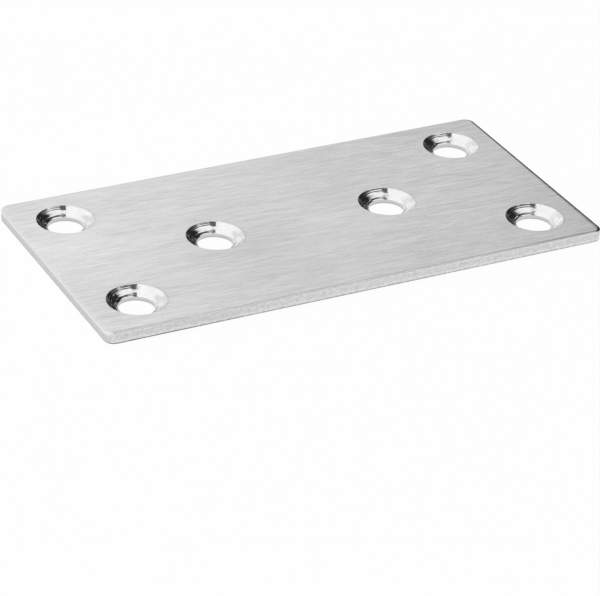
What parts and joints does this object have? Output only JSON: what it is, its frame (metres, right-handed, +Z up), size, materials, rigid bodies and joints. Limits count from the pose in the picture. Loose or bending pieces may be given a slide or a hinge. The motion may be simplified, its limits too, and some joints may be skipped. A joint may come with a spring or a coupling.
{
  "type": "mending plate",
  "caption": "Flat oblong steel mending plate with countersunk screw holes in its corners and along its middle, for joining two boards.",
  "frame": {"origin": "on the underside, at the middle of the plate's outline", "axes": "+X along the plate's length, +Y across its width, +Z up out of the countersunk face"},
  "size_m": [0.08, 0.04, 0.0018],
  "materials": {
    "satin_steel": "satin, brushed along the length, with bright turned countersinks"
  },
  "bodies": {
    "root": {"plate": "satin_steel"}
  },
  "joints": []
}
